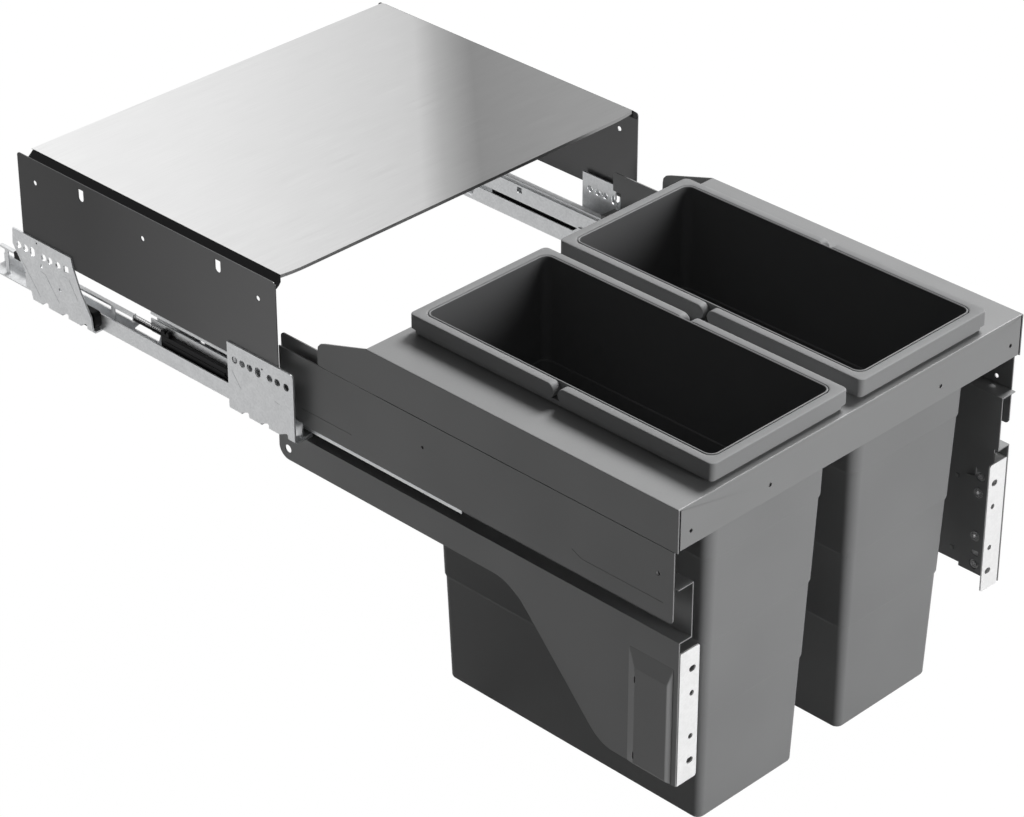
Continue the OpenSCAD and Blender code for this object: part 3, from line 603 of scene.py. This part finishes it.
given = coil_tree.nodes.new("NodeGroupInput").outputs
spiral = coil_node("GeometryNodeCurveSpiral", Resolution=12, Rotations=given["Curls"],
                   Start_Radius=given["Radius"], End_Radius=given["Radius"],
                   Height=given["Length"])
circle = coil_node("GeometryNodeCurvePrimitiveCircle", Resolution=7, Radius=given["Wire"])
wire = coil_node("GeometryNodeCurveToMesh", Curve=spiral, Profile_Curve=circle, Fill_Caps=True)
turned = coil_node("GeometryNodeTransform", Geometry=wire, Rotation=(-math.pi / 2, 0, 0))
shiny = coil_node("GeometryNodeSetMaterial", Geometry=turned, Material=given["Finish"])
coil_tree.links.new(shiny, coil_tree.nodes.new("NodeGroupOutput").inputs[0])
print("coil tree has", len(coil_tree.nodes), "nodes")

# %% The springs
SPRING_AT, SPRING_REAR = (0.2615, 0.2369, -0.0305), 0.284
SPRING_GAP = 0.0004
for side, sign in SIDES:
    spring = put(side + "_coil_spring", bpy.data.meshes.new(side + "_coil_spring"))
    coil = spring.modifiers.new("coil", "NODES")
    coil.node_group = coil_tree
    coil[socket_ids["Length"]] = SPRING_REAR - SPRING_AT[1] - SPRING_GAP
    coil[socket_ids["Finish"]] = bright_steel
    bpy.context.view_layer.update()
    drawn = spring.evaluated_get(bpy.context.evaluated_depsgraph_get())
    plain = bpy.data.meshes.new_from_object(drawn)
    spring.modifiers.remove(coil)
    for vertex in plain.vertices:
        vertex.co += Vector((sign * SPRING_AT[0], SPRING_AT[1], SPRING_AT[2]))
    plain.polygons.foreach_set("use_smooth", [True] * len(plain.polygons))
    spring.data = plain
    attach(spring, "cabinet_side")
    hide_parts(side + "_catch_spring")
    # When its catch comes back, 13.5 of the spring's 47.5 mm are left.
    side + "_catch_slide"
    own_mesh(spring)
    print(spring.name, len(plain.polygons), "faces")

# %% [markdown]
# ## Rounded folds
# Sheet metal never folds to a sharp edge, and a moulded cover never ends in one. A copy of the
# solid is merged, its flat faces are joined again, and the long convex edges between wide faces,
# which are the folds, are bevelled. Short edges and the narrow cut edges of the sheet stay as
# they are. On the top plate the triangles aren't joined, and only the edges along its upper face
# are bevelled. Every face is shaded flat, because smooth shading across the long thin triangles
# drew a line between the holes in the apron.
# %% Tell a fold from other edges
FOLD_LONGER, FOLD_SHARPER = 0.02, math.radians(8)


def is_fold(edge, wider, above):
    if above is not None and min(vertex.co.z for vertex in edge.verts) < above:
        return False
    length = edge.calc_length()
    if len(edge.link_faces) != 2 or length <= FOLD_LONGER:
        return False
    if edge.calc_face_angle_signed() <= FOLD_SHARPER:
        return False
    return min(face.calc_area() for face in edge.link_faces) / length > wider


print("a fold is longer than", FOLD_LONGER, "m")

# %% Bevel the folds of a copy
SAME_PLACE, SAME_PLANE = 1e-6, math.radians(1)
TOP_FOLD, ARM_FOLD, COVER_EDGE = 0.0011, 0.0012, 0.0012
UPPER_FACE = TOP_PLATE - 0.0002


def folded(node, body, slot_name, radius, material=None, wider=0.004, above=None):
    work = bmesh.new()
    work.from_mesh(solids[node].data)
    bmesh.ops.remove_doubles(work, verts=work.verts, dist=SAME_PLACE)
    if above is None:
        bmesh.ops.dissolve_limit(work, angle_limit=SAME_PLANE, verts=work.verts,
                                 edges=work.edges)
    for face in work.faces:
        face.smooth = False
    chosen = [edge for edge in work.edges if is_fold(edge, wider, above)]
    bmesh.ops.bevel(work, geom=chosen, offset=radius, offset_type="OFFSET", segments=3,
                    profile=0.5, affect="EDGES", clamp_overlap=above is None)
    mesh = bpy.data.meshes.new(node + "_folded")
    work.to_mesh(mesh)
    work.free()
    mesh.materials.append(material or FINISHES[slot_name])
    made = put(node + "_folded", mesh)
    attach(made, body)
    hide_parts(node)
    print(made.name, len(chosen), "edges bevelled")


folded("frame_top_plate", "drawer", "dark_coat", TOP_FOLD, above=UPPER_FACE)
for side, sign in SIDES:
    folded(side + "_door_arm", "drawer", "dark_coat", ARM_FOLD)
    folded(side + "_front_cover", "drawer", "bin_plastic", COVER_EDGE, cover_plastic, wider=0.002)

# %% [markdown]
# ## Light and background
# A strong lamp from the upper right lights what faces up or right, and a low one in front lights
# the fronts. Neither reaches the left sides, which stay darker than the fronts, as in the
# photograph. A sun with a wide angle gives soft shadows. The world is white to the camera and a
# little less white in reflections, while it lights the object only faintly.
# %% The world
WORLD_LIGHT, WORLD_IN_METAL = 0.064, 0.8
world = bpy.data.worlds.new("studio")
bpy.context.scene.world = world
world.use_nodes = True
sky = Nodes(world.node_tree)
seen_by_camera, in_a_reflection, through_glass = [
    sky.node("LightPath", output=f"Is {kind} Ray") for kind in ("Camera", "Glossy", "Transmission")]
looked_at = seen_by_camera.larger(in_a_reflection * WORLD_IN_METAL).larger(through_glass)
glow = sky.node("Background", Color=(1, 1, 1, 1),
                Strength=sky.ramp(looked_at, 0.0, 1.0, WORLD_LIGHT, 1.0))
sky.node("OutputWorld", Surface=glow)
print("world has", len(sky.tree.nodes), "nodes")

# %% The lamps
def soft_sun(name, strength, towards, spread):
    data = bpy.data.lights.new(name, "SUN")
    data.energy = strength
    data.angle = math.radians(spread)
    aim(put(name, data), towards)


soft_sun("upper_right", 3.35, (-0.69, -0.12, -0.71), 25)
soft_sun("low_front", 2.1, (-0.20, 0.97, -0.07), 18)
print("two lamps made")

# %% [markdown]
# The floor works like the world: it shows white to the camera and in reflections, and the little
# that is left of it is a dark matt sheet, which keeps a trace of shadow and throws back almost no
# light.
# %% The floor
FLOOR_GAP, FLOOR_HALF = 0.012, 9
FLOOR_WHITE, FLOOR_SHARE = 1.03, 0.97
FLOOR_Z = cad_box[0][2] - FLOOR_GAP

floor_finish = bpy.data.materials.new("pale_floor")
floor_finish.use_nodes = True
ground = Nodes(floor_finish.node_tree)
seen_by_camera, in_a_reflection = [
    ground.node("LightPath", output=f"Is {kind} Ray") for kind in ("Camera", "Glossy")]
both = ground.node("MixShader", at0=seen_by_camera.larger(in_a_reflection) * FLOOR_SHARE,
                   at1=ground.node("BsdfDiffuse", Color=(0.1, 0.1, 0.1, 1)),
                   at2=ground.node("Emission", Strength=FLOOR_WHITE))
ground.node("OutputMaterial", Surface=both)

corners = [(x * FLOOR_HALF, y * FLOOR_HALF, FLOOR_Z)
           for x, y in ((-1, -1), (1, -1), (1, 1), (-1, 1))]
sheet = bpy.data.meshes.new("floor")
sheet.from_pydata(corners, [], [(0, 1, 2, 3)])
sheet.materials.append(floor_finish)
floor = put("floor", sheet)
print("floor at", round(FLOOR_Z, 4))

# %% [markdown]
# ## Closing the scene
# The view transform stays Standard, so a colour renders as it is written.
# %% Finish
bpy.context.scene.view_settings.view_transform = "Standard"
